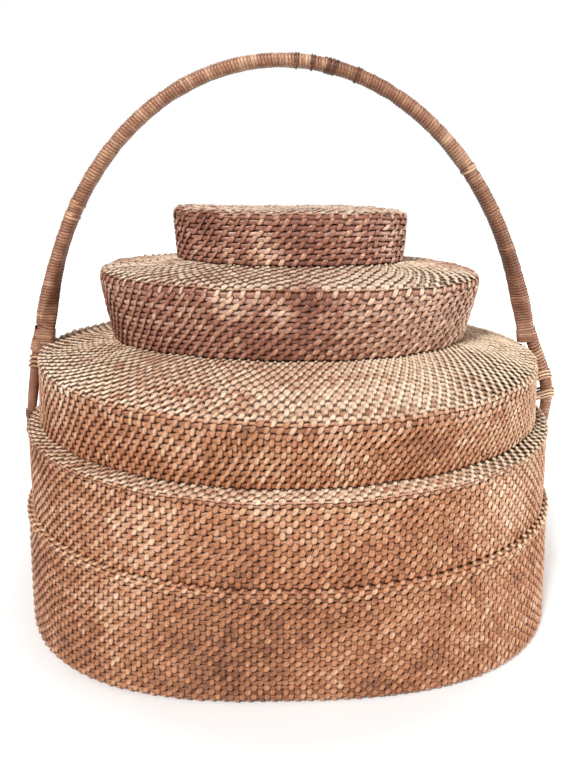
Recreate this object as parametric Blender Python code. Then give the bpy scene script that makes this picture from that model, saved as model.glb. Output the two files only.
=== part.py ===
"""Oval lidded carrying basket of coiled rattan, with a fixed, lashed cane handle.

Metres, +Z up. The basket stands on Z = 0 with its middle on the origin.
X runs along the long side and the handle arches over it; -Y is the front.
Every woven ring follows a superellipse plan that changes from tier to tier.
"""

from collections import namedtuple
from math import acos, asin, atan, cos, pi, radians, sin, sqrt

import bmesh
import bpy
from mathutils import Vector

Outline = namedtuple("Outline", "half_width half_depth shape height")

# Clearances and the thickness of the weave
GAP = 0.0003
WALL = 0.005
PLAN_POINTS = 36
MIDDLE_SHARE = 0.5
WEAVE_CREASE = radians(35)
BINDING_CREASE = radians(50)

# Base and lower tier
BASE_HALF_WIDTH = 0.1955
BASE_HALF_DEPTH = 0.147
BASE_SHAPE_POWER = 2.6
FOOT_ROUND = 0.008
FOOT_LIP = 0.002
BASE_PANEL_THICKNESS = 0.005

# Rolled ledge between the lower and the middle tier, measured from the base's outline
LEDGE_OUT_WIDTH = 0.0015
LEDGE_OUT_DEPTH = 0.0005
LEDGE_SHAPE_POWER = 2.15
LOWER_TIER_HEIGHT = 0.0745
LEDGE_THICKNESS = 0.007
LEDGE_WIDTH = 0.0105
LEDGE_OVERHANG = 0.0015
LEDGE_SET_BACK = 0.0048

# Shelf on top of the middle tier, set in from the ledge
SHELF_IN_WIDTH = 0.006
SHELF_IN_DEPTH = 0.005
SHELF_SHAPE_POWER = 2.0
MIDDLE_TIER_HEIGHT = 0.0565
SHELF_THICKNESS = 0.005
SHELF_OVERHANG = 0.0012

# Top tier and the domed shoulder over it, both set in from the shelf
WAIST_IN_WIDTH = 0.008
WAIST_IN_DEPTH = 0.0125
TOP_TIER_SHAPE_POWER = 1.92
SHOULDER_IN_WIDTH = 0.013
SHOULDER_IN_DEPTH = 0.006
TOP_TIER_HEIGHT = 0.0445
SHOULDER_RISE = 0.0115
SHOULDER_ROUND = 0.0025
DOME_RISE_SHARE = 0.62

# Mouth of the basket under the lid, set in from the shoulder
MOUTH_IN_WIDTH = 0.063
MOUTH_IN_DEPTH = 0.0775
MOUTH_SHAPE_POWER = 2.0
MOUTH_RIM_THICKNESS = 0.0038
MOUTH_RIM_DROP = 0.009

# Flared lid tier, its seat flange and the collar that drops into the mouth
LID_OVERLAP = 0.011
LID_FOOT_SHAPE_POWER = 2.0
LID_SEAT_MARGIN = 0.002
LID_FLARE_WIDTH = 0.0027
LID_FLARE_DEPTH = 0.0087
LID_TOP_SHAPE_POWER = 2.35
LID_HEIGHT = 0.049
LID_ROUND = 0.0025
LID_TOP_RISE = 0.004
SEAT_THICKNESS = 0.0045
COLLAR_CLEARANCE = 0.0015
COLLAR_THICKNESS = 0.004
COLLAR_DEPTH = 0.026

# Smaller tier on the lid, which serves as the knob, set in from the lid's top
KNOB_IN_WIDTH = 0.0502
KNOB_IN_DEPTH = 0.0447
KNOB_SHAPE_POWER = 2.45
KNOB_WAIST_DRAW = 0.0012
KNOB_FLARE_DEPTH = 0.003
KNOB_HEIGHT = 0.034
KNOB_ROUND = 0.002
KNOB_PANEL_THICKNESS = 0.005

# Handle: two canes in one binding, arched as half an ellipse, its heights measured from the shoulder
ARCH_OUT_WIDTH = 0.002
ARCH_LEAN = 0.0055
ARCH_CENTRE_DROP = 0.0485
ARCH_RISE = 0.2365
CANE_TOP_RADIUS = 0.0027
CANE_FOOT_RADIUS = 0.0032
CANE_BEVEL_STEPS = 2
STRIP_BEVEL_STEPS = 1
ARCH_STATIONS = 21
SPLIT_STATIONS = 2
STATION_EASE_SHARE = 0.4
TWIST_START = radians(55)
TWIST_POWER = 3
HANDLE_FOOT_RISE = 0.0045
SPLIT_RISE = 0.0175
LEG_SLOPE_SHARE = 0.38
BINDING_FOOT_RISE = 0.008
BINDING_THICKNESS = 0.0008
BINDING_POINTS = 12
LEG_TIP_DROP = 0.019
LEG_TIP_SHARE = 0.55
LEG_STATIONS = 10

# Strips wound round the handle and its legs
STRIP_RADIUS = 0.0008
STRIP_SPACING = 0.00055
LASHING_RADIUS = 0.0007
LOOP_POINTS = 24
LEAST_SELF_GAP = 0.0004
MILLIMETRES = 1000
NECK_LOOPS = 3
NECK_FOOT_RISE = 0.011
DARK_BAND_LOOPS = 3
SINGLE_BAND_LOOPS = 1.25
DARK_BAND_SHARE = 0.153
THIN_BAND_SHARES = (0.0195, 0.075, 0.2335)
LEFT_PALE_BAND_SHARES = (-0.797, -0.822)
RIGHT_PALE_BAND_SHARES = (0.664, 0.844)
LASHING_DROPS = {
    "left_upper_lashing": 0.0105,
    "right_upper_lashing": 0.0135,
    "right_lower_lashing": 0.029,
}
LASHING_LOOPS = 2
TIP_TIE_RISE = 0.0065
TIP_TIE_LOOPS = 1.25

# Colours and roughness of the rattan
WEAVE_COLOUR = (0.36, 0.17, 0.09, 1.0)
EDGE_COLOUR = (0.48, 0.27, 0.15, 1.0)
HIDDEN_COLOUR = (0.42, 0.25, 0.14, 1.0)
CANE_COLOUR = (0.3, 0.13, 0.07, 1.0)
BINDING_COLOUR = (0.38, 0.19, 0.11, 1.0)
DARK_STRIP_COLOUR = (0.12, 0.045, 0.025, 1.0)
PALE_STRIP_COLOUR = (0.55, 0.34, 0.18, 1.0)
WEAVE_ROUGHNESS = 0.55
STRIP_ROUGHNESS = 0.4


def clear_scene():
    """Remove every object of the file that the script starts in."""
    for old in list(bpy.data.objects):
        bpy.data.objects.remove(old, do_unlink=True)


def rattan(name, colour, roughness):
    """A plain rattan material for one sub-part."""
    material = bpy.data.materials.new(name)
    material.use_nodes = True
    shader = material.node_tree.nodes["Principled BSDF"]
    shader.inputs["Base Color"].default_value = colour
    shader.inputs["Roughness"].default_value = roughness
    shader.inputs["Metallic"].default_value = 0.0
    material.diffuse_color = colour
    return material


def link(name, data, colour, roughness):
    """Put one named sub-part in the scene, with its own material."""
    piece = bpy.data.objects.new(name, data)
    bpy.context.collection.objects.link(piece)
    data.materials.append(rattan(name, colour, roughness))
    return piece


def inset(outline, distance, height=None):
    """The same plan drawn in by a distance, at its own or another height."""
    if height is None:
        height = outline.height
    return Outline(outline.half_width - distance, outline.half_depth - distance, outline.shape, height)


def between(lower, upper, share):
    """The outline a share of the way from one outline to another."""
    return Outline(*(low + (high - low) * share for low, high in zip(lower, upper)))


def plan_ring(outline):
    """Points of a superellipse plan, counter-clockwise from +X."""
    points = []
    for step in range(PLAN_POINTS):
        turn = 2 * pi * step / PLAN_POINTS
        across, along = cos(turn), sin(turn)
        power = 2 / outline.shape
        x = outline.half_width * abs(across) ** power * (1 if across >= 0 else -1)
        y = outline.half_depth * abs(along) ** power * (1 if along >= 0 else -1)
        points.append(Vector((x, y, outline.height)))
    return points


def finish_mesh(name, mesh_builder, colour, roughness, crease):
    """Turn a bmesh into a smooth shaded object with outward faces."""
    bmesh.ops.recalc_face_normals(mesh_builder, faces=mesh_builder.faces)
    mesh = bpy.data.meshes.new(name)
    mesh_builder.to_mesh(mesh)
    mesh_builder.free()
    mesh.shade_smooth()
    mesh.set_sharp_from_angle(angle=crease)
    return link(name, mesh, colour, roughness)


def bridge(mesh_builder, first, second):
    """Quads between two closed rings with the same number of points."""
    count = len(first)
    for step in range(count):
        after = (step + 1) % count
        mesh_builder.faces.new((first[step], first[after], second[after], second[step]))


def woven_ring(name, profile, colour=WEAVE_COLOUR):
    """A ring whose cross-section runs through the profile's outlines and closes on itself."""
    mesh_builder = bmesh.new()
    rings = [[mesh_builder.verts.new(point) for point in plan_ring(outline)] for outline in profile]
    for ring, following in zip(rings, rings[1:] + rings[:1]):
        bridge(mesh_builder, ring, following)
    return finish_mesh(name, mesh_builder, colour, WEAVE_ROUGHNESS, WEAVE_CREASE)


def woven_disc(name, profile, colour=WEAVE_COLOUR):
    """A full panel: the first and the last outline are closed with flat faces."""
    mesh_builder = bmesh.new()
    rings = [[mesh_builder.verts.new(point) for point in plan_ring(outline)] for outline in profile]
    for ring, following in zip(rings, rings[1:]):
        bridge(mesh_builder, ring, following)
    mesh_builder.faces.new(rings[0])
    mesh_builder.faces.new(rings[-1])
    return finish_mesh(name, mesh_builder, colour, WEAVE_ROUGHNESS, WEAVE_CREASE)


def rolled_edge(outline, overhang, thickness):
    """Outer edge of a ledge: drawn in at the bottom and at the top, full in the middle."""
    bottom = outline.height - thickness
    middle = outline.height - thickness / 2
    return [inset(outline, overhang, bottom), inset(outline, 0, middle), inset(outline, overhang)]


def stepped(outline, in_width, in_depth, shape, height):
    """The outline of the next tier, set in from this one's width and depth."""
    return Outline(outline.half_width - in_width, outline.half_depth - in_depth, shape, height)


# Outlines that the tiers share, each set in or out from the one that carries it
ledge_foot = LOWER_TIER_HEIGHT
ledge_top = ledge_foot + LEDGE_THICKNESS
shelf_height = ledge_top + MIDDLE_TIER_HEIGHT
shoulder_height = shelf_height + TOP_TIER_HEIGHT
seat_height = shoulder_height + SHOULDER_RISE
base = Outline(BASE_HALF_WIDTH, BASE_HALF_DEPTH, BASE_SHAPE_POWER, FOOT_ROUND)
ledge = stepped(base, -LEDGE_OUT_WIDTH, -LEDGE_OUT_DEPTH, LEDGE_SHAPE_POWER, ledge_top)
shelf = stepped(ledge, SHELF_IN_WIDTH, SHELF_IN_DEPTH, SHELF_SHAPE_POWER, shelf_height)
waist = stepped(shelf, WAIST_IN_WIDTH, WAIST_IN_DEPTH, TOP_TIER_SHAPE_POWER, shelf_height + GAP)
shoulder = stepped(shelf, SHOULDER_IN_WIDTH, SHOULDER_IN_DEPTH, TOP_TIER_SHAPE_POWER, shoulder_height)
mouth = stepped(shoulder, MOUTH_IN_WIDTH, MOUTH_IN_DEPTH, MOUTH_SHAPE_POWER, seat_height)
lid_foot = stepped(mouth, -LID_OVERLAP, -LID_OVERLAP, LID_FOOT_SHAPE_POWER, seat_height + GAP)
lid_seat = inset(lid_foot, -LID_SEAT_MARGIN, seat_height)
lid_height = lid_foot.height + LID_HEIGHT
lid_top = stepped(lid_foot, -LID_FLARE_WIDTH, -LID_FLARE_DEPTH, LID_TOP_SHAPE_POWER, lid_height)
knob_seat_height = lid_top.height + LID_TOP_RISE
knob_foot = stepped(lid_top, KNOB_IN_WIDTH, KNOB_IN_DEPTH, KNOB_SHAPE_POWER, knob_seat_height + GAP)
knob_top = stepped(knob_foot, 0, -KNOB_FLARE_DEPTH, KNOB_SHAPE_POWER, knob_seat_height + KNOB_HEIGHT)


def build_base_panel():
    """Flat woven bottom, seated inside the rounded foot of the lower wall."""
    edge = inset(base, FOOT_ROUND + FOOT_LIP + GAP)
    woven_disc("base_panel", [edge._replace(height=0.0), edge._replace(height=BASE_PANEL_THICKNESS)])


def build_lower_wall():
    """Lower tier, turned in to a rounded foot that the basket stands on."""
    half_turn = FOOT_ROUND * (1 - sqrt(0.5))
    top = inset(ledge, LEDGE_OVERHANG, ledge_foot - GAP)
    lip = FOOT_ROUND + FOOT_LIP
    woven_ring("lower_wall", [
        inset(base, FOOT_ROUND, 0.0),
        inset(base, half_turn, half_turn),
        base,
        between(base, top, MIDDLE_SHARE),
        top,
        inset(top, WALL),
        inset(between(base, top, MIDDLE_SHARE), WALL),
        inset(base, WALL, FOOT_ROUND + FOOT_LIP),
        inset(base, lip, WALL),
        inset(base, lip, 0.0),
    ])


def build_ledge():
    """Rolled ring where the middle tier steps in from the lower one."""
    inner = inset(ledge, LEDGE_WIDTH)
    edge = rolled_edge(ledge, LEDGE_OVERHANG, LEDGE_THICKNESS)
    woven_ring("lower_ledge", edge + [inner, inner._replace(height=ledge_foot)], EDGE_COLOUR)


def build_middle_wall():
    """Middle tier, a little fuller at half height than at its foot."""
    foot = inset(ledge, LEDGE_SET_BACK, ledge.height + GAP)
    top = inset(shelf, SHELF_OVERHANG, shelf_height - SHELF_THICKNESS - GAP)
    middle = between(foot, top, MIDDLE_SHARE)
    outer = [foot, middle, top]
    woven_ring("middle_wall", outer + [inset(outline, WALL) for outline in reversed(outer)])


def build_shelf():
    """Flat shelf that closes the middle tier in to the foot of the upper tier."""
    inner = inset(waist, WALL, shelf_height)
    edge = rolled_edge(shelf, SHELF_OVERHANG, SHELF_THICKNESS)
    woven_ring("shelf", edge + [inner, inner._replace(height=shelf_height - SHELF_THICKNESS)], EDGE_COLOUR)


def build_upper_wall():
    """Upper tier between the shelf and the shoulder."""
    top = inset(shoulder, SHELF_OVERHANG, shoulder_height - SHOULDER_ROUND - WALL - GAP)
    woven_ring("upper_wall", [waist, top, inset(top, WALL), inset(waist, WALL)])


def build_shoulder():
    """Domed panel from the edge of the upper tier up to the flat seat round the mouth."""
    under = shoulder_height - SHOULDER_ROUND - WALL
    dome_height = shoulder_height + SHOULDER_RISE * DOME_RISE_SHARE
    half_way = between(shoulder, lid_seat, MIDDLE_SHARE)._replace(height=dome_height)
    woven_ring("shoulder", [
        inset(shoulder, SHELF_OVERHANG, under),
        inset(shoulder, 0, shoulder_height - SHOULDER_ROUND),
        inset(shoulder, SHOULDER_ROUND),
        half_way,
        lid_seat,
        mouth,
        inset(mouth, 0, seat_height - WALL),
        inset(half_way, 0, half_way.height - WALL),
        inset(shoulder, WALL, under),
    ])


def build_mouth_rim():
    """Wrapped hoop that lines the mouth and guides the lid's collar."""
    outer = inset(mouth, GAP)
    inner = inset(outer, MOUTH_RIM_THICKNESS)
    foot = seat_height - MOUTH_RIM_DROP
    low_outer, low_inner = outer._replace(height=foot), inner._replace(height=foot)
    woven_ring("mouth_rim", [low_outer, outer, inner, low_inner], HIDDEN_COLOUR)


def build_lid_wall():
    """Flared wall of the lid, wider at its top than where it sits on the shoulder."""
    top = inset(lid_top, SHELF_OVERHANG, lid_top.height - LID_ROUND - WALL - GAP)
    woven_ring("lid_wall", [lid_foot, top, inset(top, WALL), inset(lid_foot, WALL)])


def build_lid_seat():
    """Hidden flange between the lid's wall and its collar, lying on the seat."""
    outer = inset(lid_foot, WALL + GAP)
    inner = inset(collar_outline(), -GAP, lid_foot.height)
    rise = lid_foot.height + SEAT_THICKNESS
    high_outer, high_inner = outer._replace(height=rise), inner._replace(height=rise)
    woven_ring("lid_seat", [outer, high_outer, high_inner, inner], HIDDEN_COLOUR)


def collar_outline():
    """Outer plan of the lid's collar: the mouth's rim less a sliding clearance."""
    return inset(mouth, GAP + MOUTH_RIM_THICKNESS + COLLAR_CLEARANCE, lid_foot.height + SEAT_THICKNESS)


def build_lid_collar():
    """Hidden collar that drops into the mouth and keeps the lid in place."""
    outer = collar_outline()
    inner = inset(outer, COLLAR_THICKNESS)
    foot = seat_height - COLLAR_DEPTH
    low_outer, low_inner = outer._replace(height=foot), inner._replace(height=foot)
    woven_ring("lid_collar", [low_outer, outer, inner, low_inner], HIDDEN_COLOUR)


def build_lid_top():
    """Gently domed top of the lid, open under the knob."""
    under = lid_top.height - LID_ROUND - WALL
    inner = inset(knob_foot, WALL, knob_seat_height)
    knob_edge = knob_foot._replace(height=knob_seat_height)
    woven_ring("lid_top", [
        inset(lid_top, SHELF_OVERHANG, under),
        inset(lid_top, 0, lid_top.height - LID_ROUND),
        inset(lid_top, LID_ROUND),
        inset(knob_edge, -LID_SEAT_MARGIN, knob_seat_height),
        inner,
        inner._replace(height=knob_seat_height - WALL),
        inset(lid_top, WALL, under),
    ])


def build_knob_wall():
    """Nearly straight wall of the knob, drawn in slightly at half height."""
    top = knob_top._replace(height=knob_top.height - KNOB_ROUND - KNOB_PANEL_THICKNESS / 2 - GAP)
    waist = inset(between(knob_foot, top, MIDDLE_SHARE), KNOB_WAIST_DRAW)
    outer = [knob_foot, waist, inset(top, SHELF_OVERHANG)]
    inner = [inset(outline, WALL) for outline in reversed(outer)]
    woven_ring("knob_wall", outer + inner)


def build_knob_top():
    """Flat woven panel that closes the knob."""
    under = knob_top.height - KNOB_ROUND - KNOB_PANEL_THICKNESS / 2
    woven_disc("knob_top", [
        inset(knob_top, SHELF_OVERHANG, under),
        inset(knob_top, 0, knob_top.height - KNOB_ROUND),
        inset(knob_top, KNOB_ROUND),
    ])


# Heights of the handle, measured from the shoulder that it rises from
arch_half_width = shoulder.half_width + ARCH_OUT_WIDTH
arch_centre_height = shoulder_height - ARCH_CENTRE_DROP
leg_tip_height = shelf_height - LEG_TIP_DROP
leg_line = shelf.half_width + GAP + CANE_FOOT_RADIUS


def arch_angle(height):
    """Angle from the arch's crown at which its middle line is at a height."""
    return acos((height - arch_centre_height) / ARCH_RISE)


foot_angle = arch_angle(shoulder_height + HANDLE_FOOT_RISE)
split_angle = arch_angle(shoulder_height + SPLIT_RISE)
binding_angle = arch_angle(shoulder_height + BINDING_FOOT_RISE)
neck_angle = arch_angle(shoulder_height + NECK_FOOT_RISE)


def arch_point(angle):
    """Middle line of the bundle: half an ellipse over the basket, its crown leaning to -X."""
    x = arch_half_width * sin(angle) - ARCH_LEAN * cos(angle)
    return Vector((x, 0.0, arch_centre_height + ARCH_RISE * cos(angle)))


def arch_pace(angle):
    """How fast the middle line moves with the angle, to the right and down past the crown."""
    return Vector((arch_half_width * cos(angle) + ARCH_LEAN * sin(angle), 0.0, -ARCH_RISE * sin(angle)))


def arch_outward(angle):
    """Unit vector square to the arch, pointing away from the basket."""
    pace = arch_pace(angle)
    return Vector((-pace.z, 0.0, pace.x)).normalized()


def cane_radius(angle):
    """The canes are pared thinner toward the crown."""
    share = min(abs(angle) / foot_angle, 1.0)
    return CANE_TOP_RADIUS + (CANE_FOOT_RADIUS - CANE_TOP_RADIUS) * share


def pair_direction(angle):
    """Direction from the inner to the outer cane: to the front at the crown, outward at the split."""
    share = min(max((abs(angle) - TWIST_START) / (split_angle - TWIST_START), 0.0), 1.0)
    tilt = pi / 2 * share ** TWIST_POWER
    front = Vector((0.0, -1.0, 0.0))
    return (arch_outward(angle) * sin(tilt) + front * cos(tilt)).normalized()


def inner_centre(angle):
    """Centre of the inner cane, which ends on the shoulder."""
    return arch_point(angle) - pair_direction(angle) * (cane_radius(angle) + GAP / 2)


def leg_x(height, side):
    """Place of an outer cane's leg along X, eased out from the split to the shelf's edge."""
    angle = side * split_angle
    start = arch_point(angle) + arch_outward(angle) * (cane_radius(angle) + GAP / 2)
    span = start.z - shelf_height
    share = min(max((start.z - height) / span, 0.0), 1.0)
    rise = share * share * (3 - 2 * share)
    slope = LEG_SLOPE_SHARE * span * share * (1 - share) ** 2
    return side * (abs(start.x) * (1 - rise) + slope + leg_line * rise)


def outer_centre(angle):
    """Centre of the outer cane, with the inner one down to the split, then on its own line."""
    centre = arch_point(angle) + pair_direction(angle) * (cane_radius(angle) + GAP / 2)
    if abs(angle) <= split_angle:
        return centre
    side = 1 if angle > 0 else -1
    return Vector((leg_x(centre.z, side), 0.0, centre.z))


def arch_angles(limit):
    """Angles from the left foot to the right foot, closer together toward the split, within a limit."""
    shares = [step / ARCH_STATIONS for step in range(ARCH_STATIONS + 1)]
    half = [split_angle * share * (1 + STATION_EASE_SHARE * (1 - share)) for share in shares]
    half += [split_angle + (binding_angle - split_angle) * (step + 1) / SPLIT_STATIONS
             for step in range(SPLIT_STATIONS)]
    half.append(foot_angle)
    half = [angle for angle in half if angle <= limit]
    return [-angle for angle in reversed(half[1:])] + half


def tube(name, points, radius, colour, roughness, bevel_steps, shares=None):
    """A closed round tube along a polyline, with filled ends and an optional taper."""
    curve = bpy.data.curves.new(name, "CURVE")
    curve.dimensions = "3D"
    curve.bevel_depth = radius
    curve.bevel_resolution = bevel_steps
    curve.use_fill_caps = True
    spline = curve.splines.new("POLY")
    spline.points.add(len(points) - 1)
    for index, (knot, point) in enumerate(zip(spline.points, points)):
        knot.co = (*point, 1.0)
        knot.radius = shares[index] if shares else 1.0
    spline.use_smooth = True
    return link(name, curve, colour, roughness)


def build_inner_cane():
    """Arched cane whose ends rest on the shoulder's edge."""
    angles = arch_angles(foot_angle)
    shares = [cane_radius(angle) / CANE_FOOT_RADIUS for angle in angles]
    points = [inner_centre(angle) for angle in angles]
    tube("handle_inner_cane", points, CANE_FOOT_RADIUS, CANE_COLOUR, STRIP_ROUGHNESS,
         CANE_BEVEL_STEPS, shares)


def build_outer_cane():
    """Longer cane whose ends run down outside the upper tier, past the shelf's edge."""
    angles = arch_angles(split_angle)
    middle = [outer_centre(angle) for angle in angles]
    middle_shares = [cane_radius(angle) / CANE_FOOT_RADIUS for angle in angles]
    start = middle[-1].z
    drop = start - leg_tip_height
    heights = [start - drop * (step + 1) / LEG_STATIONS for step in range(LEG_STATIONS)]
    right = [Vector((leg_x(height, 1), 0.0, height)) for height in heights]
    left = [Vector((leg_x(height, -1), 0.0, height)) for height in reversed(heights)]
    foot_shares = [1.0] * (LEG_STATIONS - 1) + [LEG_TIP_SHARE]
    shares = foot_shares[::-1] + middle_shares + foot_shares
    tube("handle_outer_cane", left + middle + right, CANE_FOOT_RADIUS, CANE_COLOUR, STRIP_ROUGHNESS,
         CANE_BEVEL_STEPS, shares)


def bundle_outline(angle, distance, turn):
    """Point on the strip's way round both canes, at one turn from the arch's outward side."""
    inner = inner_centre(angle)
    outer = outer_centre(angle)
    apart = outer - inner
    tangent = arch_pace(angle)
    tangent = (tangent - apart * tangent.dot(apart) / apart.length_squared).normalized()
    front = Vector((0.0, -1.0, 0.0))
    direction = front.cross(tangent) * cos(turn) + front * sin(turn)
    centre = outer if direction.dot(apart) > 0 else inner
    return centre + direction * (cane_radius(angle) + distance)


def binding_ring(mesh_builder, angle, distance):
    """Closed ring of the binding's skin, at a distance from both canes."""
    turns = [2 * pi * (step + 0.5) / BINDING_POINTS for step in range(BINDING_POINTS)]
    return [mesh_builder.verts.new(bundle_outline(angle, distance, turn)) for turn in turns]


def build_binding():
    """Closely wound strip that covers both canes from neck to neck, as one sleeve."""
    mesh_builder = bmesh.new()
    angles = arch_angles(binding_angle)
    outer = [binding_ring(mesh_builder, angle, GAP + BINDING_THICKNESS) for angle in angles]
    inner = [binding_ring(mesh_builder, angle, GAP) for angle in angles]
    for rings in (outer, inner):
        for ring, following in zip(rings, rings[1:]):
            bridge(mesh_builder, ring, following)
    bridge(mesh_builder, outer[0], inner[0])
    bridge(mesh_builder, outer[-1], inner[-1])
    finish_mesh("handle_binding", mesh_builder, BINDING_COLOUR, STRIP_ROUGHNESS, BINDING_CREASE)


def least_gap(points, diameter):
    """Least distance from a winding's skin to the skin of its other turns."""
    apart = LOOP_POINTS // 2
    return min(
        (first - second).length - diameter
        for index, first in enumerate(points)
        for second in points[index + apart:]
    )


def report_gap(name, points, diameter):
    """Print a winding's least gap to itself, on its points."""
    gap = least_gap(points, diameter)
    found, wanted = gap * MILLIMETRES, LEAST_SELF_GAP * MILLIMETRES
    print(f"{name}: least gap to itself {found:.2f} mm, wanted over {wanted:.2f} mm")


def angle_at(share):
    """Angle from the crown at which the arch's middle line is a share of its half width along X."""
    reach = sqrt(arch_half_width ** 2 + ARCH_LEAN ** 2)
    return asin(share * arch_half_width / reach) + atan(ARCH_LEAN / arch_half_width)


def winding(name, start, loops, colour):
    """Strip wound round the bound canes, from one angle on the arch toward the crown."""
    toward = -1 if start > 0 else 1
    reach = GAP + BINDING_THICKNESS + GAP + STRIP_RADIUS
    pitch = 2 * STRIP_RADIUS + STRIP_SPACING
    points = []
    for step in range(round(loops * LOOP_POINTS) + 1):
        turns = step / LOOP_POINTS
        angle = start + toward * turns * pitch / arch_pace(start).length
        points.append(bundle_outline(angle, reach, 2 * pi * (step + 0.5) / LOOP_POINTS))
    tube(name, points, STRIP_RADIUS, colour, STRIP_ROUGHNESS, STRIP_BEVEL_STEPS)
    report_gap(name, points, 2 * STRIP_RADIUS)


def lashing(name, height):
    """Strand from the upper wall, round the outer cane's leg and back into the wall."""
    side = -1 if name.startswith("left") else 1
    reach = CANE_FOOT_RADIUS + GAP + LASHING_RADIUS
    pitch = 2 * LASHING_RADIUS + STRIP_SPACING
    half_turns = LASHING_LOOPS * 2 + 1
    steps = half_turns * LOOP_POINTS // 2
    points = []
    for step in range(steps + 1):
        turn = -pi / 2 + pi * half_turns * step / steps
        level = height - pitch * step / LOOP_POINTS
        centre = Vector((leg_x(level, side), 0.0, level))
        down = Vector((leg_x(level - pitch, side) - centre.x, 0.0, -pitch)).normalized()
        outward = Vector((-down.z, 0.0, down.x)) * side
        points.append(centre + outward * cos(turn) * reach + Vector((0.0, sin(turn) * reach, 0.0)))
    wall_share = (height - waist.height) / (shoulder_height - waist.height)
    wall_x = side * (between(waist, shoulder, wall_share).half_width + GAP)
    for end in (0, -1):
        stop = Vector((wall_x, points[end].y, points[end].z))
        middle = (stop + points[end]) / 2
        points = [stop, middle] + points if end == 0 else points + [middle, stop]
    tube(name, points, LASHING_RADIUS, PALE_STRIP_COLOUR, STRIP_ROUGHNESS, STRIP_BEVEL_STEPS)
    report_gap(name, points, 2 * LASHING_RADIUS)


def tip_tie(name, height):
    """Dark strand wound round the left leg, just over the shelf."""
    reach = CANE_FOOT_RADIUS + GAP + LASHING_RADIUS
    pitch = 2 * LASHING_RADIUS + STRIP_SPACING
    points = []
    for step in range(round(TIP_TIE_LOOPS * LOOP_POINTS) + 1):
        turn = 2 * pi * step / LOOP_POINTS
        level = height - pitch * step / LOOP_POINTS
        points.append(Vector((leg_x(level, -1) - cos(turn) * reach, sin(turn) * reach, level)))
    tube(name, points, LASHING_RADIUS, DARK_STRIP_COLOUR, STRIP_ROUGHNESS, STRIP_BEVEL_STEPS)
    report_gap(name, points, 2 * LASHING_RADIUS)


def build_windings():
    """The dark and the pale bands on the arch, the necks and the lashings of the legs."""
    winding("left_neck_winding", -neck_angle, NECK_LOOPS, PALE_STRIP_COLOUR)
    winding("right_neck_winding", neck_angle, NECK_LOOPS, PALE_STRIP_COLOUR)
    winding("dark_band", angle_at(DARK_BAND_SHARE), DARK_BAND_LOOPS, DARK_STRIP_COLOUR)
    for number, share in enumerate(THIN_BAND_SHARES, 1):
        winding(f"thin_dark_band_{number}", angle_at(share), SINGLE_BAND_LOOPS, DARK_STRIP_COLOUR)
    for number, share in enumerate(LEFT_PALE_BAND_SHARES, 1):
        winding(f"left_pale_band_{number}", angle_at(share), SINGLE_BAND_LOOPS, PALE_STRIP_COLOUR)
    for number, share in enumerate(RIGHT_PALE_BAND_SHARES, 1):
        winding(f"right_pale_band_{number}", angle_at(share), SINGLE_BAND_LOOPS, PALE_STRIP_COLOUR)
    for name, drop in LASHING_DROPS.items():
        lashing(name, shoulder_height - drop)
    tip_tie("left_tip_tie", shelf_height + TIP_TIE_RISE)


def parent_to_axis(names, empty_name, place):
    """Hang the named pieces on an empty that marks their joint's axis."""
    axis = bpy.data.objects.new(empty_name, None)
    axis.location = place
    bpy.context.collection.objects.link(axis)
    bpy.context.view_layer.update()
    for name in names:
        piece = bpy.data.objects[name]
        piece.parent = axis
        piece.matrix_parent_inverse = axis.matrix_world.inverted()


def build():
    """Build the basket from the base up, then the lid, then the handle."""
    clear_scene()
    build_base_panel()
    build_lower_wall()
    build_ledge()
    build_middle_wall()
    build_shelf()
    build_upper_wall()
    build_shoulder()
    build_mouth_rim()
    build_lid_wall()
    build_lid_seat()
    build_lid_collar()
    build_lid_top()
    build_knob_wall()
    build_knob_top()
    build_inner_cane()
    build_outer_cane()
    build_binding()
    build_windings()
    lid_pieces = ("lid_wall", "lid_seat", "lid_collar", "lid_top", "knob_wall", "knob_top")
    parent_to_axis(lid_pieces, "lid_axis", (0.0, 0.0, seat_height))


build()
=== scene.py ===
import bpy
import numpy as np
from mathutils import Matrix, Vector


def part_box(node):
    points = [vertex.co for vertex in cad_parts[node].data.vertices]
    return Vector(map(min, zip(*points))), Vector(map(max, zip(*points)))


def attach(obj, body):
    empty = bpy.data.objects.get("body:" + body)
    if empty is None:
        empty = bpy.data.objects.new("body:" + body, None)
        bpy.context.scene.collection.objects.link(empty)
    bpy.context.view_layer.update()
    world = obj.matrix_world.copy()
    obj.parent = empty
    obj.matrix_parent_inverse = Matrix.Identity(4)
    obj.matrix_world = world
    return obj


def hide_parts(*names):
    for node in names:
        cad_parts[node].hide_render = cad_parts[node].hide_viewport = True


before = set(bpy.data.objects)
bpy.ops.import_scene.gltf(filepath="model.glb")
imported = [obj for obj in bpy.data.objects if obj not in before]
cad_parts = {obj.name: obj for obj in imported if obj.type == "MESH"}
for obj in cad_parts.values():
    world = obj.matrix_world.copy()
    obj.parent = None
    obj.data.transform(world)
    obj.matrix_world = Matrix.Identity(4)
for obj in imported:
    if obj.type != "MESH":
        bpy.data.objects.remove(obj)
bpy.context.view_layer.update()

# Lower tier, the first woven ring from the ground up. Rods of cane lie over each other as rows, and split
# rattan strips stand across them, each over one rod and under the next, so the short slanted floats of a row
# stand between those of the rows above and below it. Its foot turns in under the basket.

PLAN_SAMPLES = 8192
LEVEL_SAMPLES = 16
COLUMN_STEPS = 4
EDGE_ROUND_ROWS = 1.25
WALL = 0.005
INNER_RIPPLE = 0.0006
LEAST_SHELL = 0.0005
WAVER, RIPPLE, WAVER_HEIGHT = 0.0006, 0.0003, 0.03
LEFT_SWELL, SWELL_SPAN, SWELL_START = 0.006, 0.11, 0.6
SWELL_HEIGHTS = [0.14, 0.18, 0.194]

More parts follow.
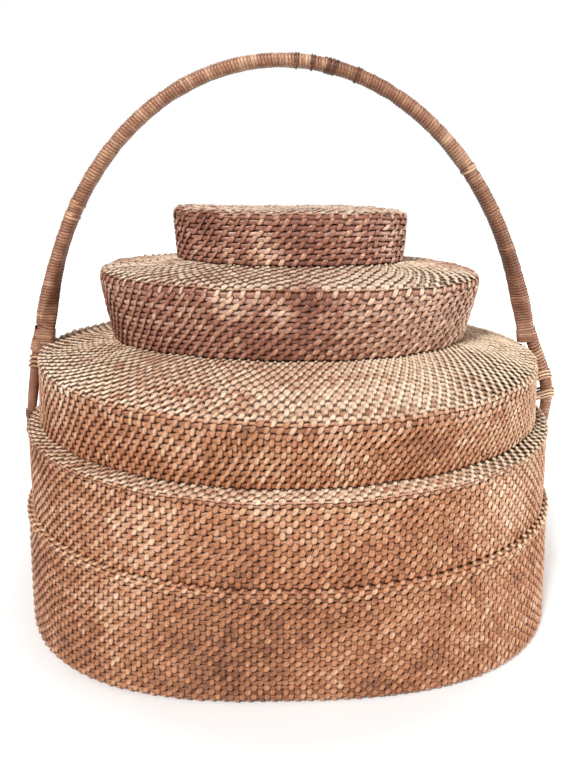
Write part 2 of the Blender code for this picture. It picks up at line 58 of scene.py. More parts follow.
# Up a rod: place in its row, depth under the skin and painted shade. Along a float: place, width, rise and
# painted shade. Across a float: place, crown and painted shade.
THIN_ROD_SHARES, ROD_DEPTHS, ROD_SHADE = np.array([
    [0, 0.04, 0.07, 0.2, 0.46, 0.72, 0.86, 0.91],
    [0.0026, 0.0022, 0.0009, 0.0001, 0, 0.0002, 0.0009, 0.0024],
    [1, 0.7, 0.15, 0, 0, 0.08, 0.45, 1]])
STRIP_ALONG, STRIP_NARROW, STRIP_RISE, STRIP_SHADE = np.array([
    [-1, -0.72, -0.28, 0.45, 1],
    [0.88, 1, 1, 1, 0.9],
    [-0.0024, -0.0006, 0.0002, 0.0002, -0.0012],
    [1, 0.75, 0.05, 0, 0.55]])
STRIP_ACROSS, STRIP_CROWN, STRIP_SIDE_SHADE = np.array([
    [-1, -0.86, -0.35, 0.35, 0.86, 1],
    [-0.0016, -0.0008, 0, 0, -0.0008, -0.0016],
    [0.75, 0.14, 0, 0, 0.5, 1]])
ROD_DROP = 0.0004
ROD_DIP = 0.0011
STRIP_ROWS = 1.8
STRIP_WIDTH = 0.0044
STRIP_WIDTH_SHARE = 0.56
STRIP_LEAN = 0.32
DISC_PITCH = 0.0062
LEAN_WAVE, LEAN_NOISE, WIDTH_NOISE, LENGTH_NOISE = 0.08, 0.06, 0.07, 0.04
LIFT_NOISE, PLACE_NOISE, LEVEL_NOISE = 0.00012, 0.06, 0.03
COLUMN_TONE = 0.25
TONE_STEP = 0.37
# Painted shade at a tier's foot, along its top edge and on the inside of its shell.
FOOT_SHADE, EDGE_SHADE, INNER_SHADE = 0.2, 0.15, 0.3
END_START, END_SPAN, LEFT_END = 0.35, 0.55, 0.3
END_NARROW = 0.33
# Painted shade in the grooves of flats: more toward the ends, less over the whole flat, which is lit from
# above.
END_GROOVE_SHADE, FLAT_SHADE_CUT = 1.0, 0.25


def norm(vectors):
    """Lengths of vectors."""
    return np.linalg.norm(vectors, axis=-1)


def unit(vectors):
    """Vectors of length one."""
    return vectors / norm(vectors)[..., None]


def walked(steps):
    """Distance walked before each step and after the last."""
    return np.concatenate(([0.0], np.cumsum(steps)))


def loft(stations, rows, tilts=0.0, rounding=EDGE_ROUND_ROWS):
    """A tier: dense levels, counted in rows, the outline there, and the number of rows.

    An outline is its half width, half depth, power, height and tilt. Straight lines run between the
    stations and on for two rows past both ends, with corners rounded by a moving average.
    """
    stations = np.column_stack([np.array(stations, float), np.broadcast_to(tilts, len(stations))])
    steps = np.diff(stations, axis=0)
    lengths = np.sqrt((steps[:, 0] ** 2 + steps[:, 1] ** 2) / 2 + steps[:, 3] ** 2)
    at = walked(lengths) / lengths.sum() * rows
    levels = np.arange(-2 * LEVEL_SAMPLES, (rows + 2) * LEVEL_SAMPLES + 1) / LEVEL_SAMPLES
    table = np.stack([np.interp(levels, at, column) for column in stations.T], axis=1)
    first = (stations[1] - stations[0]) / (at[1] - at[0])
    last = (stations[-1] - stations[-2]) / (at[-1] - at[-2])
    first[2] = last[2] = 0
    table += np.minimum(levels, 0)[:, None] * first + np.maximum(levels - rows, 0)[:, None] * last
    table[:, 1] = np.maximum(table[:, 1], 1e-4)
    width = int(rounding * LEVEL_SAMPLES)
    kernel = np.ones(width) / width
    smooth = np.stack([np.convolve(column, kernel, "valid") for column in table.T], axis=1)
    return np.convolve(levels, kernel, "valid"), smooth, rows


def skin(tier, level, turn):
    """Points of a tier's skin, the superellipse (a cos t, b sin t) / (|cos t|^n + |sin t|^n)^(1/n) by level.

    Each row wavers in height, in 3 long and 19 short waves, as hand-laid rows do. A tilted tier falls
    towards its right end, and the top of the body swells up at its left end.
    """
    levels, table = tier[:2]
    half_width, half_depth, power, height, tilt = (np.interp(level, levels, column) for column in table.T)
    across, along = np.cos(turn), np.sin(turn)
    reach = (np.abs(across) ** power + np.abs(along) ** power) ** (-1 / power)
    x = half_width * across * reach
    waves = WAVER * np.sin(3 * turn + 40 * height) + RIPPLE * np.sin(19 * turn + 90 * height)
    lift = waves * np.clip(height / WAVER_HEIGHT, 0, 1) + tilt * x
    left = np.clip(-x / SWELL_SPAN - SWELL_START, 0, 1)
    lift += LEFT_SWELL * left ** 2 * np.interp(height, SWELL_HEIGHTS, [0, 1, 0])
    return np.stack([x, half_depth * along * reach, height + lift], axis=-1)


def steps_on(tier, level, turn):
    """The skin's steps along the row, by turn, and up the tier, by level, from small differences."""
    small_level, small_turn = 0.12, 0.004
    along = (skin(tier, level, turn + small_turn) - skin(tier, level, turn - small_turn)) / (2 * small_turn)
    up = (skin(tier, level + small_level, turn) - skin(tier, level - small_level, turn)) / (2 * small_level)
    return along, up


def outward(tier, level, turn):
    """Unit normals of the skin: the cross product of its steps along the row and up the tier."""
    return unit(np.cross(*steps_on(tier, level, turn)))


def columns_of(tier, count, spread, disc):
    """Turn of every strip column at quarter levels: even along the first row, then square to the rows.

    spread is the relative distance between columns from the left end to the right end. On a disc the columns
    stay even along each row instead, because they would meet at the ends of its middle.
    """
    turns = np.linspace(-np.pi, np.pi, PLAN_SAMPLES + 1)
    levels = np.arange(-COLUMN_STEPS, COLUMN_STEPS * (tier[2] + 1) + 1) / COLUMN_STEPS
    pace = np.interp(np.cos(turns), np.linspace(-1, 1, len(spread)), spread)

    def even(level):
        run = walked(norm(np.diff(skin(tier, level, turns), axis=0)) / (pace[1:] + pace[:-1]))
        return np.interp(np.arange(count + 1) / count * run[-1], run, turns)

    if disc:
        return levels, np.stack([even(level) for level in levels])
    table = np.zeros((len(levels), count + 1))
    table[COLUMN_STEPS] = even(0.0)
    for stop, way in ((len(levels), 1), (-1, -1)):
        for index in range(COLUMN_STEPS + way, stop, way):
            turn = table[index - way]
            along, up = steps_on(tier, levels[index - way], turn)
            table[index] = turn - way / COLUMN_STEPS * (along * up).sum(axis=-1) / (along ** 2).sum(axis=-1)
    return levels, table


def turn_at(columns, level, column):
    """Turn at a level and at a place counted in columns, straight between the known ones."""
    levels, table = columns
    count = table.shape[1] - 1
    rounds, within = np.divmod(column, count)
    low = np.minimum(within.astype(int), count - 1)
    share = within - low
    step = np.clip((level - levels[0]) * COLUMN_STEPS, 0, len(levels) - 1.001)
    row = step.astype(int)
    rise = step - row
    lower = table[row, low] * (1 - share) + table[row, low + 1] * share
    upper = table[row + 1, low] * (1 - share) + table[row + 1, low + 1] * share
    return lower * (1 - rise) + upper * rise + 2 * np.pi * rounds


# Soft patches of tone. Some are real stains; others are painted light: pale highlights along the lid's front
# and the shoulder's edges, and lighter and darker patches toward the ends.
STAIN_AND_LIGHT_STRENGTH = 0.75
STAINS_AND_LIGHT = np.array([
    [-41, -76, 234, 12, 1.6], [-8, -77, 227, 6, 1.2], [4, -78, 234, 12, -0.9],
    [-18, -34, 254, 10, 1.3], [4, -35, 266, 16, -0.8], [-56, -29, 274, 12, -0.9],
    [-22, -141, 131, 9, 1.2], [109, -116, 131, 22, 0.9], [68, -132, 130, 18, 0.7],
    [-18, -142, 110, 7, -1.1], [78, -118, 157, 22, -0.6], [-134, -75, 182, 18, 0.9],
    [-59, -126, 168, 16, 0.7], [25, -141, 113, 20, -0.5], [-84, -128, 120, 20, 0.6],
    [16, -133, 161, 18, 0.4], [-172, -36, 184, 11, 1.2], [-158, -62, 183, 11, 1.1],
    [-140, -83, 182, 10, 0.9], [171, -40, 180, 10, 0.5], [160, -60, 180, 10, 0.5],
    [145, -78, 180, 10, 0.5], [190, -40, 130, 90, 1.0], [0, -130, 15, 110, -0.6],
    [110, -60, 230, 65, 1.3], [-115, -30, 215, 50, -0.3], [20, -135, 160, 60, 0.5],
    [172, 0, 235, 50, -1.7], [-135, 0, 335, 50, -0.9], [120, 0, 256, 35, -0.9]])


def stained_and_lit(points):
    """Shift of tone near stains and patches of painted light: the height of each times exp(-(distance /
    size)^2).

    A row is a place and a size in millimetres and a height, below zero where it is darker.
    """
    shift = np.zeros(len(points))
    for x, y, z, size, height in STAINS_AND_LIGHT * (0.001, 0.001, 0.001, 0.001, STAIN_AND_LIGHT_STRENGTH):
        shift += height * np.exp(-((points - (x, y, z)) ** 2).sum(axis=-1) / size ** 2)
    return shift


def placed(name, data):
    """A new object of the scene."""
    thing = bpy.data.objects.new(name, data)
    bpy.context.scene.collection.objects.link(thing)
    return thing


def mesh_piece(name, points, faces, strand, shade, material, lie=None):
    """A smooth shaded mesh from whole arrays. strand holds length along, place across and tone by point.

    shade is painted shade in the grooves, and lie is how level the weave lies, from 0 on a wall to 1 on a
    flat.
    """
    points = points.reshape(-1, 3)
    mesh = bpy.data.meshes.new(name)
    loops = np.concatenate([block.ravel() for block in faces]).astype(np.int32)
    sizes = np.concatenate([np.full(len(block), block.shape[1]) for block in faces]).astype(np.int32)
    mesh.vertices.add(len(points))
    mesh.vertices.foreach_set("co", points.astype(np.float32).ravel())
    mesh.loops.add(len(loops))
    mesh.loops.foreach_set("vertex_index", loops)
    mesh.polygons.add(len(sizes))
    mesh.polygons.foreach_set("loop_start", np.concatenate(([0], np.cumsum(sizes)[:-1])).astype(np.int32))
    mesh.polygons.foreach_set("use_smooth", np.ones(len(sizes), bool))
    strand = strand.reshape(-1, 3) + np.outer(stained_and_lit(points), (0, 0, 1))
    lie = np.zeros(len(points)) if lie is None else lie
    for field, kind, key, values in (("strand", "FLOAT_VECTOR", "vector", strand),
                                     ("shade", "FLOAT", "value", shade), ("lie", "FLOAT", "value", lie)):
        mesh.attributes.new(field, kind, "POINT").data.foreach_set(key, values.ravel())
    mesh.update(calc_edges=True)
    mesh.validate()
    mesh.materials.append(material)
    return placed(name, mesh)


def grid_faces(columns, rows, closed_rows=False):
    """Quads of a grid stored column by column. Columns always close round; rows close only if asked."""
    last = rows if closed_rows else rows - 1
    column, row = np.meshgrid(np.arange(columns), np.arange(last), indexing="ij")
    after, above = (column + 1) % columns, (row + 1) % rows
    quads = [column * rows + row, after * rows + row, after * rows + above, column * rows + above]
    return np.stack(quads, axis=-1).reshape(-1, 4)


def end_share(tier, place):
    """How far a place along X counts as the end of the oval: nothing for the middle third, then rising.

    At the right end it rises to 1, and at the left end only to LEFT_END.
    """
    out = place / tier[1][:, 0].max()
    right, left = ((way * out - END_START) / END_SPAN for way in (1, -1))
    return np.clip(right, 0, 1) + LEFT_END * np.clip(left, 0, 1)


def rods(name, tier, columns, material, parity, thickness, shares, drop):
    """Closed shell of a tier: rounded rods with deep grooves between them outside, a shallow ripple inside.

    Each rod dips under the strips of its row and bulges between them, and its grooves carry painted shade.
    On flats the grooves are deeper and hold more painted shade toward the ends, and less in the middle. No
    groove goes through the shell.
    """
    rows, count = tier[2], columns[1].shape[1] - 1
    levels = np.append((np.arange(rows)[:, None] + shares).ravel(), rows)
    scale = min(1, thickness / WALL)
    depths = np.append(np.tile(ROD_DEPTHS, rows), ROD_DEPTHS[0]) * scale
    depths[0] = depths[-1] = depths[1] = depths[2]
    inner_levels = np.arange(rows, -0.25, -0.5)

    def laid(levels):
        column, level = np.meshgrid(np.arange(count), levels, indexing="ij")
        turn = turn_at(columns, level, column)
        return column, level, skin(tier, level, turn), outward(tier, level, turn)

    column, level, outer, normal = laid(levels)
    inner, inner_normal = laid(inner_levels)[2:]
    flat = np.clip(2 * normal[..., 2] - 1, 0, 1)
    under = (np.minimum(np.floor(level), rows - 1) + parity + column) % 2 == 0
    end = end_share(tier, outer[..., 0])
    depths = depths + ROD_DROP + (drop - ROD_DROP) * flat * end + ROD_DIP * under * scale
    depths = np.minimum(depths, thickness - INNER_RIPPLE * scale - LEAST_SHELL)
    outer = outer - normal * depths[..., None]
    depth = thickness - INNER_RIPPLE * scale * (inner_levels % 1 == 0)
    inner = inner - inner_normal * depth[:, None]
    points = np.concatenate([outer, inner], axis=1)
    walk = norm(np.roll(outer[:, 0], -1, axis=0) - outer[:, 0])
    length = np.broadcast_to((np.cumsum(walk) - walk)[:, None], points.shape[:2])
    all_levels = np.broadcast_to(np.concatenate([levels, inner_levels]), points.shape[:2])
    strand = np.stack([length, all_levels, np.floor(all_levels) * TONE_STEP % 1], axis=-1)
    # Painted shade by level: dark in the grooves between rods, at the foot, at the top edge and inside.
    deep = np.concatenate([np.tile(ROD_SHADE, rows), [EDGE_SHADE], np.full(len(inner_levels), INNER_SHADE)])
    deep[0] = FOOT_SHADE
    # On flats, more painted shade in the grooves toward the ends and less over the middle.
    flat_shade = np.zeros(points.shape[:2])
    flat_shade[:, :len(levels)] = flat * (END_GROOVE_SHADE * end - FLAT_SHADE_CUT)
    faces = grid_faces(count, points.shape[1], closed_rows=True)
    lie = np.concatenate([normal[..., 2], np.zeros(inner.shape[:2])], axis=1)
    return mesh_piece(name, points, [faces], strand, deep + flat_shade, material, lie)


def strips(name, tier, columns, material, parity, lean, seed, disc, share, end_narrow):
    """Floats of the standing strips: one closed pillow over each rod, in every second column of its row."""
    chance = np.random.default_rng(seed)
    blocks, strands, lies = [], [], []
    rows, count = tier[2], columns[1].shape[1] - 1
    own = chance.uniform(0, 1, count)
    ring, stations = len(STRIP_ACROSS), len(STRIP_ALONG)
    along, narrow, rise = (np.repeat(line, ring) for line in (STRIP_ALONG, STRIP_NARROW, STRIP_RISE))
    across, crown = (np.tile(line, stations) for line in (STRIP_ACROSS, STRIP_CROWN))
    for row in range(rows):
        middle = row + 0.5
        stride = 1
        centre = np.arange((row + parity) % 2, count, 2)
        turn = turn_at(columns, middle, centre)
        if disc:
            round_length = norm(steps_on(tier, middle, turn)[0]).mean() * 2 * np.pi
            stride = 2 ** max(0, int(round(np.log2(DISC_PITCH * count / 2 / round_length))))
            keep = (centre // 2) % stride == 0
            centre, turn = centre[keep], turn[keep]
        number = len(centre)
        step_along, step_up = steps_on(tier, middle, turn)
        spacing = (turn_at(columns, middle, centre + 1) - turn) * norm(step_along)
        row_height = norm(np.cross(step_along, step_up)) / norm(step_along)
        wave = np.sin(turn * 5 + row * 0.6 + seed) + np.sin(turn * 9 - row * 0.9 + 2 * seed)
        slant = lean + LEAN_WAVE * wave + chance.normal(0, LEAN_NOISE, number)
        half_width = np.minimum(STRIP_WIDTH / 2 / spacing, stride * share)
        half_width = half_width * (1 - end_narrow * end_share(tier, skin(tier, middle, turn)[:, 0]))
        half_width = half_width * (1 + chance.normal(0, WIDTH_NOISE, number))
        length = STRIP_ROWS * (1 + chance.normal(0, LENGTH_NOISE, number))
        lift = chance.normal(0, LIFT_NOISE, number)
        tone = COLUMN_TONE * own[centre] + (1 - COLUMN_TONE) * chance.uniform(0, 1, number)
        sideways = (slant * length / 2 * row_height / spacing)[:, None] * along
        column = (centre + chance.normal(0, PLACE_NOISE, number) * stride)[:, None] + sideways
        column = column + across * narrow * half_width[:, None]
        level = middle + chance.normal(0, LEVEL_NOISE, number)[:, None] + along * length[:, None] / 2
        turn = turn_at(columns, level, column)
        height = rise + crown + lift[:, None]
        normal = outward(tier, level, turn)
        blocks.append((skin(tier, level, turn) + normal * height[..., None]).reshape(-1, 3))
        lies.append(normal[..., 2].ravel())
        grain = np.stack([along * (length * row_height / 2)[:, None] + tone[:, None] * 7,
                          across + 3 * np.arange(number)[:, None] * TONE_STEP,
                          np.broadcast_to(tone[:, None], level.shape)], axis=-1)
        strands.append(grain.reshape(-1, 3))
    points, strand = np.concatenate(blocks), np.concatenate(strands)
    one = grid_faces(ring, stations)
    one = (one % stations) * ring + one // stations
    starts = np.arange(0, len(points), ring * stations)[:, None, None]
    sides = (starts + one).reshape(-1, 4)
    caps = np.stack([np.arange(ring)[::-1], np.arange(ring) + ring * (stations - 1)])
    # Painted shade at each float's ends, where it dives under a rod, and along its sides.
    shade = np.tile((STRIP_SHADE[:, None] + STRIP_SIDE_SHADE).ravel(), len(starts))
    caps = (starts + caps).reshape(-1, ring)
    return mesh_piece(name, points, [sides, caps], strand, shade, material, np.concatenate(lies))


def feed(tree, node, sockets):
    """Gives a node's sockets their plain value or another node's socket."""
    for socket, value in sockets.items():
        if isinstance(value, bpy.types.NodeSocket):
            tree.links.new(value, node.inputs[socket])
        else:
            node.inputs[socket].default_value = value
    return node


def add(tree, kind, sockets, **settings):
    """A new shader node with its settings and its sockets fed."""
    node = tree.nodes.new(kind)
    for key, value in settings.items():
        setattr(node, key, value)
    return feed(tree, node, sockets)


def maths(tree, operation, first, second):
    """One sum of two values."""
    return add(tree, "ShaderNodeMath", {0: first, 1: second}, operation=operation).outputs[0]


def swing(tree, value, share):
    """How far a value is from a half, times a share."""
    return maths(tree, "MULTIPLY", maths(tree, "SUBTRACT", value, 0.5), share)


def ranged(tree, value, low, high, least=0.0, most=1.0):
    """A value carried over from the range low to high to the range least to most, and held at both ends."""
    return add(tree, "ShaderNodeMapRange", {0: value, 1: low, 2: high, 3: least, 4: most}).outputs[0]


def blended(tree, factor, first, second):
    """Colour that runs from the first to the second."""
    return add(tree, "ShaderNodeMix", {0: factor, 6: first, 7: second}, data_type="RGBA").outputs[2]


def noise(tree, place, scale, detail, roughness=0.5):
    """Noise from 0 to 1 at a place."""
    return add(tree, "ShaderNodeTexNoise", {"Vector": place, "Scale": scale, "Detail": detail,
                                            "Roughness": roughness}).outputs[0]


FIBRE_STRETCH = (90.0, 2.2, 31.0)
FIBRE_SHARE = 0.7
FIBRE_BUMP, FIBRE_HEIGHT = 0.25, 0.0002
# Colour of the painted shade in the grooves and crevices of the weave.
GROOVE_SHADE_COLOUR = (0.05, 0.01, 0.003, 1)
WARM_GLOSS = (1, 0.82, 0.64, 1)
HAZE_ROUGHNESS = 0.35


def fibre_group():
    """Split rattan: long fibres in each strand, a tone for each strand, and broad stains over the basket."""
    tree = bpy.data.node_groups.new("rattan fibre", "ShaderNodeTree")
    for way, kind, names in (("INPUT", "Color", ("Dark", "Body", "Pale")),
                             ("INPUT", "Float", ("Strand Share", "Stain Share", "Lightness", "Top Light")),
                             ("OUTPUT", "Color", ("Colour",)),
                             ("OUTPUT", "Float", ("Roughness", "Fibre"))):
        for name in names:
            tree.interface.new_socket(name, in_out=way, socket_type="NodeSocket" + kind)
    given = tree.nodes.new("NodeGroupInput").outputs
    strand, shade, lie = (add(tree, "ShaderNodeAttribute", {}, attribute_name=name).outputs
                          for name in ("strand", "shade", "lie"))
    parts = add(tree, "ShaderNodeSeparateXYZ", {0: strand["Vector"]}).outputs
    stretched = {axis: maths(tree, "MULTIPLY", parts[axis], FIBRE_STRETCH[axis]) for axis in range(3)}
    fibre = noise(tree, add(tree, "ShaderNodeCombineXYZ", stretched).outputs[0], 1.0, 3.0)
    place = add(tree, "ShaderNodeTexCoord", {}).outputs["Object"]
    stain = maths(tree, "ADD", maths(tree, "MULTIPLY", noise(tree, place, 13.0, 3.0, 0.6), 0.6),
                  maths(tree, "MULTIPLY", noise(tree, place, 110.0, 2.0), 0.4))
    tone = maths(tree, "ADD", swing(tree, stain, given["Stain Share"]),
                 swing(tree, parts[2], given["Strand Share"]))
    streak = maths(tree, "ADD", swing(tree, fibre, FIBRE_SHARE), given["Lightness"])
    # Painted light: weave that lies level is painted paler, as if lit from above.
    top_lit = maths(tree, "MULTIPLY", ranged(tree, lie["Fac"], 0.5, 1.0), given["Top Light"])
    level = maths(tree, "ADD", maths(tree, "ADD", tone, streak), top_lit)
    colour = blended(tree, ranged(tree, level, 0.1, 0.5), given["Dark"], given["Body"])
    colour = blended(tree, ranged(tree, level, 0.5, 0.95), colour, given["Pale"])
    # The shade attribute blends the colour toward painted shade in the grooves.
    colour = blended(tree, ranged(tree, shade["Fac"], 0.1, 0.6, 0.0, 0.95), colour, GROOVE_SHADE_COLOUR)
    rough = ranged(tree, fibre, 0.0, 1.0, 0.2, 0.45)
    add(tree, "NodeGroupOutput", {"Colour": colour, "Roughness": rough, "Fibre": fibre})
    return tree


rattan_fibre = fibre_group()


# The share that lightens weave lying level is painted light from above; haze is the shader's sheen.
def rattan(name, dark, body, pale, strand_share=0.3, stain_share=1.1, lightness=0.5, top_light=0.0, haze=0.0,
           gloss=0.45):
    """Satin rattan in three tones, with its fibres as fine relief."""
    material = bpy.data.materials.new(name)
    material.use_nodes = True
    tree = material.node_tree
    group = add(tree, "ShaderNodeGroup", {
        "Dark": (*dark, 1), "Body": (*body, 1), "Pale": (*pale, 1), "Strand Share": strand_share,
        "Stain Share": stain_share, "Lightness": lightness, "Top Light": top_light}, node_tree=rattan_fibre)
    made = group.outputs
    bump = add(tree, "ShaderNodeBump", {"Height": made["Fibre"], "Strength": FIBRE_BUMP,
                                        "Distance": FIBRE_HEIGHT})
    feed(tree, tree.nodes["Principled BSDF"], {
        "Base Color": made["Colour"], "Roughness": made["Roughness"], "Normal": bump.outputs["Normal"],
        "Specular IOR Level": gloss, "Specular Tint": WARM_GLOSS, "Sheen Weight": haze,
        "Sheen Roughness": HAZE_ROUGHNESS})
    return material


strip_rattan = rattan(
    "strip rattan", (0.2, 0.07, 0.038), (0.58, 0.25, 0.122), (0.98, 0.72, 0.5), strand_share=0.26,
    stain_share=1.4, gloss=0.5)
# The rods' rattan is darker than the strips', partly its own tone and partly painted shade where the rods
# lie under the strips.
rod_rattan = rattan(
    "rod rattan", (0.12, 0.044, 0.028), (0.38, 0.155, 0.08), (0.72, 0.44, 0.29), strand_share=0.2,
    stain_share=1.4, gloss=0.3)


def settle(piece, body, node):
    """The piece rides on its body and stands for its CAD node, which it hides."""
    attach(piece, body)
    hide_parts(node)


def woven(node, tier, count, seed, body="basket", slot="woven_rattan", lean=STRIP_LEAN, spread=(1, 1),
          disc=False, parity=0, thickness=WALL, shares=THIN_ROD_SHARES, share=STRIP_WIDTH_SHARE,
          drop=ROD_DROP, end_narrow=END_NARROW, materials=(rod_rattan, strip_rattan)):
    """The rods and the strips of one woven panel, which together stand for its CAD node."""
    columns = columns_of(tier, count, spread, disc)
    rod, strip = materials
    made = (rods(node + "_rods", tier, columns, rod, parity, thickness, shares, drop),
            strips(node + "_strips", tier, columns, strip, parity, lean, seed, disc, share, end_narrow))
    for piece in made:
        settle(piece, body, node)


LOWER_COLUMNS = 300
base_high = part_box("lower_wall")[1]
ledge_low, ledge_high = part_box("lower_ledge")
FOOT_ROUND = 0.0035
FOOT_LIP = 0.002
LEDGE_OVERHANG = 0.0015
BASE_POWER, LEDGE_POWER = 2.7, 2.15


def outline(corner, power, height=None):
    """An outline as wide and deep as a box's highest corner, at that corner's height or another."""
    return np.array([corner.x, corner.y, power, corner.z if height is None else height])


def inset(line, distance, height):
    """The outline moved in by a distance, at another height."""
    return np.array([line[0] - distance, line[1] - distance, line[2], height])


foot = outline(base_high, BASE_POWER, 0.0)
ledge = outline(ledge_high, LEDGE_POWER)
lower_wall = loft([
    inset(foot, FOOT_ROUND + FOOT_LIP, 0.0),
    inset(foot, FOOT_ROUND, 0.0),
    inset(foot, FOOT_ROUND * 0.29, FOOT_ROUND * 0.29),
    inset(foot, 0, FOOT_ROUND),
    inset(ledge, LEDGE_OVERHANG, base_high.z)], 22)
woven("lower_wall", lower_wall, LOWER_COLUMNS, seed=11)

# Bottom panel, a flat oval spiral of the same rods and strips. It starts round a straight spine in the
# middle and is sewn inside the foot of the lower tier, where the photograph doesn't show it.

base_panel_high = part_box("base_panel")[1]
SPINE_HALF_WIDTH, SPINE_HALF_DEPTH = 0.05, 0.0003
base_panel = loft([
    [SPINE_HALF_WIDTH, SPINE_HALF_DEPTH, 2.0, 0.0],
    outline(base_panel_high, BASE_POWER, 0.0)], 31)
woven("base_panel", base_panel, LOWER_COLUMNS, seed=12, disc=True)

# Rolled ledge, where the ring of the middle tier steps in from the lower one. It is a narrow roll of four
# paler rows, woven on round the top of the lower tier.

LEDGE_WIDTH = 0.0105
THIN_WALL = 0.003
lower_ledge = loft([
    inset(ledge, LEDGE_OVERHANG, ledge_low.z),
    inset(ledge, 0, (ledge_low.z + ledge_high.z) / 2),
    inset(ledge, LEDGE_OVERHANG, ledge_high.z),
    inset(ledge, LEDGE_WIDTH, ledge_high.z)], 4)
ledge_strips = rattan(
    "ledge strip rattan", (0.24, 0.085, 0.045), (0.6, 0.28, 0.15), (0.97, 0.76, 0.51), lightness=0.58)
woven("lower_ledge", lower_ledge, LOWER_COLUMNS, seed=13, slot="ledge_rattan", thickness=THIN_WALL,
      materials=(rod_rattan, ledge_strips))

# Middle tier, a ring a little narrower than the lower one. It is woven like the lower tier and stands on
# the rolled ledge.

MIDDLE_COLUMNS = 294
middle_low, middle_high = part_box("middle_wall")
shelf_low, shelf_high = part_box("shelf")
SHELF_OVERHANG = 0.0012
SHELF_POWER = 2.0
shelf_edge = outline(shelf_high, SHELF_POWER)
middle_wall = loft([
    outline(middle_high, LEDGE_POWER, middle_low.z),
    inset(shelf_edge, SHELF_OVERHANG, middle_high.z)], 14)
woven("middle_wall", middle_wall, MIDDLE_COLUMNS, seed=14)

# Shelf, a flat oval ring that closes the middle tier in to the foot of the top tier. Its strips are painted
# paler as light from above. Toward the right end they are narrower, and the grooves are deeper and hold more
# painted shade.

WAIST_IN_DEPTH = 0.0125
WAIST_IN_WIDTH = 0.008
TOP_POWER = 1.92
top_low, top_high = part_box("upper_wall")
waist = np.array([shelf_high.x - WAIST_IN_WIDTH, shelf_high.y - WAIST_IN_DEPTH, TOP_POWER, top_low.z])
shelf = loft([
    inset(shelf_edge, SHELF_OVERHANG, shelf_low.z),
    inset(shelf_edge, 0, (shelf_low.z + shelf_high.z) / 2),
    inset(shelf_edge, SHELF_OVERHANG, shelf_high.z),
    inset(waist, WALL, shelf_high.z)], 6)
FLAT_WIDTH_SHARE = 0.5
FLAT_DROP = 0.0016
FLAT_NARROW = 0.62
# Paler, less saturated copies of the wall rattan for the flats: painted light from above and painted
# reflection of the white surroundings.
lit_flat_strips = rattan(
    "lit flat strip rattan", (0.24, 0.1, 0.06), (0.56, 0.26, 0.14), (0.95, 0.78, 0.57), top_light=0.25, haze=0.1)
lit_flat_rods = rattan(
    "lit flat rod rattan", (0.16, 0.075, 0.05), (0.42, 0.18, 0.1), (0.8, 0.6, 0.44), top_light=0.2, gloss=0.3)
FLAT = dict(share=FLAT_WIDTH_SHARE, drop=FLAT_DROP, end_narrow=FLAT_NARROW,
            materials=(lit_flat_rods, lit_flat_strips))
woven("shelf", shelf, MIDDLE_COLUMNS, seed=15, slot="ledge_rattan", thickness=THIN_WALL, **FLAT)

# Top tier of the body, a low ring that flares out a little toward the shoulder. Its strips stand farther
# apart at the left end than at the right one.

UPPER_COLUMNS = 336
UPPER_SPREAD = (1.25, 1.12, 0.94, 0.92, 0.95)
shoulder_low, shoulder_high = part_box("shoulder")
SHOULDER_ROUND = 0.0025
SHOULDER_OVERHANG = 0.0003
shoulder = outline(shoulder_high, TOP_POWER, shoulder_low.z)
upper_wall = loft([waist, inset(shoulder, SHOULDER_OVERHANG, top_high.z)], 9)
woven("upper_wall", upper_wall, UPPER_COLUMNS, seed=16, spread=UPPER_SPREAD)

# Shoulder, a domed oval panel of rattan painted paler as light from above. It closes the basket in from the
# top tier to the mouth, with a rounded edge that stands flush with the top tier's wall.

rim_low, rim_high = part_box("mouth_rim")
GAP = 0.0003
LID_OVERLAP = 0.011
SEAT_MARGIN = 0.002
DOME_SHARE = 0.62
MOUTH_POWER = 2.0
edge_height = shoulder_low.z + WALL
seat_height = shoulder_high.z
mouth = inset(outline(rim_high, MOUTH_POWER), -GAP, seat_height)
seat = inset(mouth, -LID_OVERLAP - SEAT_MARGIN, seat_height)
dome = (shoulder + seat) / 2
dome[3] = edge_height + SHOULDER_ROUND + DOME_SHARE * (seat_height - edge_height - SHOULDER_ROUND)
shoulder_tier = loft([
    inset(shoulder, SHOULDER_OVERHANG, shoulder_low.z),
    inset(shoulder, 0, edge_height),
    inset(shoulder, SHOULDER_ROUND, edge_height + SHOULDER_ROUND),
    dome, seat, mouth], 19, rounding=0.5)
SHOULDER_COLUMNS = 276
SHOULDER_SPREAD = (1.1, 1.0, 1.0, 0.98, 0.9)
woven("shoulder", shoulder_tier, SHOULDER_COLUMNS, seed=17, spread=SHOULDER_SPREAD, parity=1, **FLAT)

# Mouth rim, two rows of rod sewn inside the shoulder's mouth. The lid's seat rests on it, and the lid's
# collar drops through it.

LID_COLUMNS = 176
inner_strips = rattan("inner strip rattan", (0.24, 0.11, 0.06), (0.5, 0.27, 0.15), (0.84, 0.6, 0.38))
inner_rods = rattan(
    "inner rod rattan", (0.17, 0.08, 0.05), (0.42, 0.21, 0.12), (0.68, 0.42, 0.26), strand_share=0.2)
INNER = dict(slot="inner_rattan", materials=(inner_rods, inner_strips))
RIM_THICKNESS = 0.0034
mouth_rim = loft([inset(mouth, GAP, rim_low.z), inset(mouth, GAP, rim_high.z - GAP)], 2)
woven("mouth_rim", mouth_rim, LID_COLUMNS, seed=22, thickness=RIM_THICKNESS, **INNER)

# Lid wall, a flared oval ring that leans out from a narrow foot to a wide rim. It is woven like the body, of
# rattan painted darker as shade, since the wall faces down, with fuller rods and more slanting strips. Its
# right end sits lower.

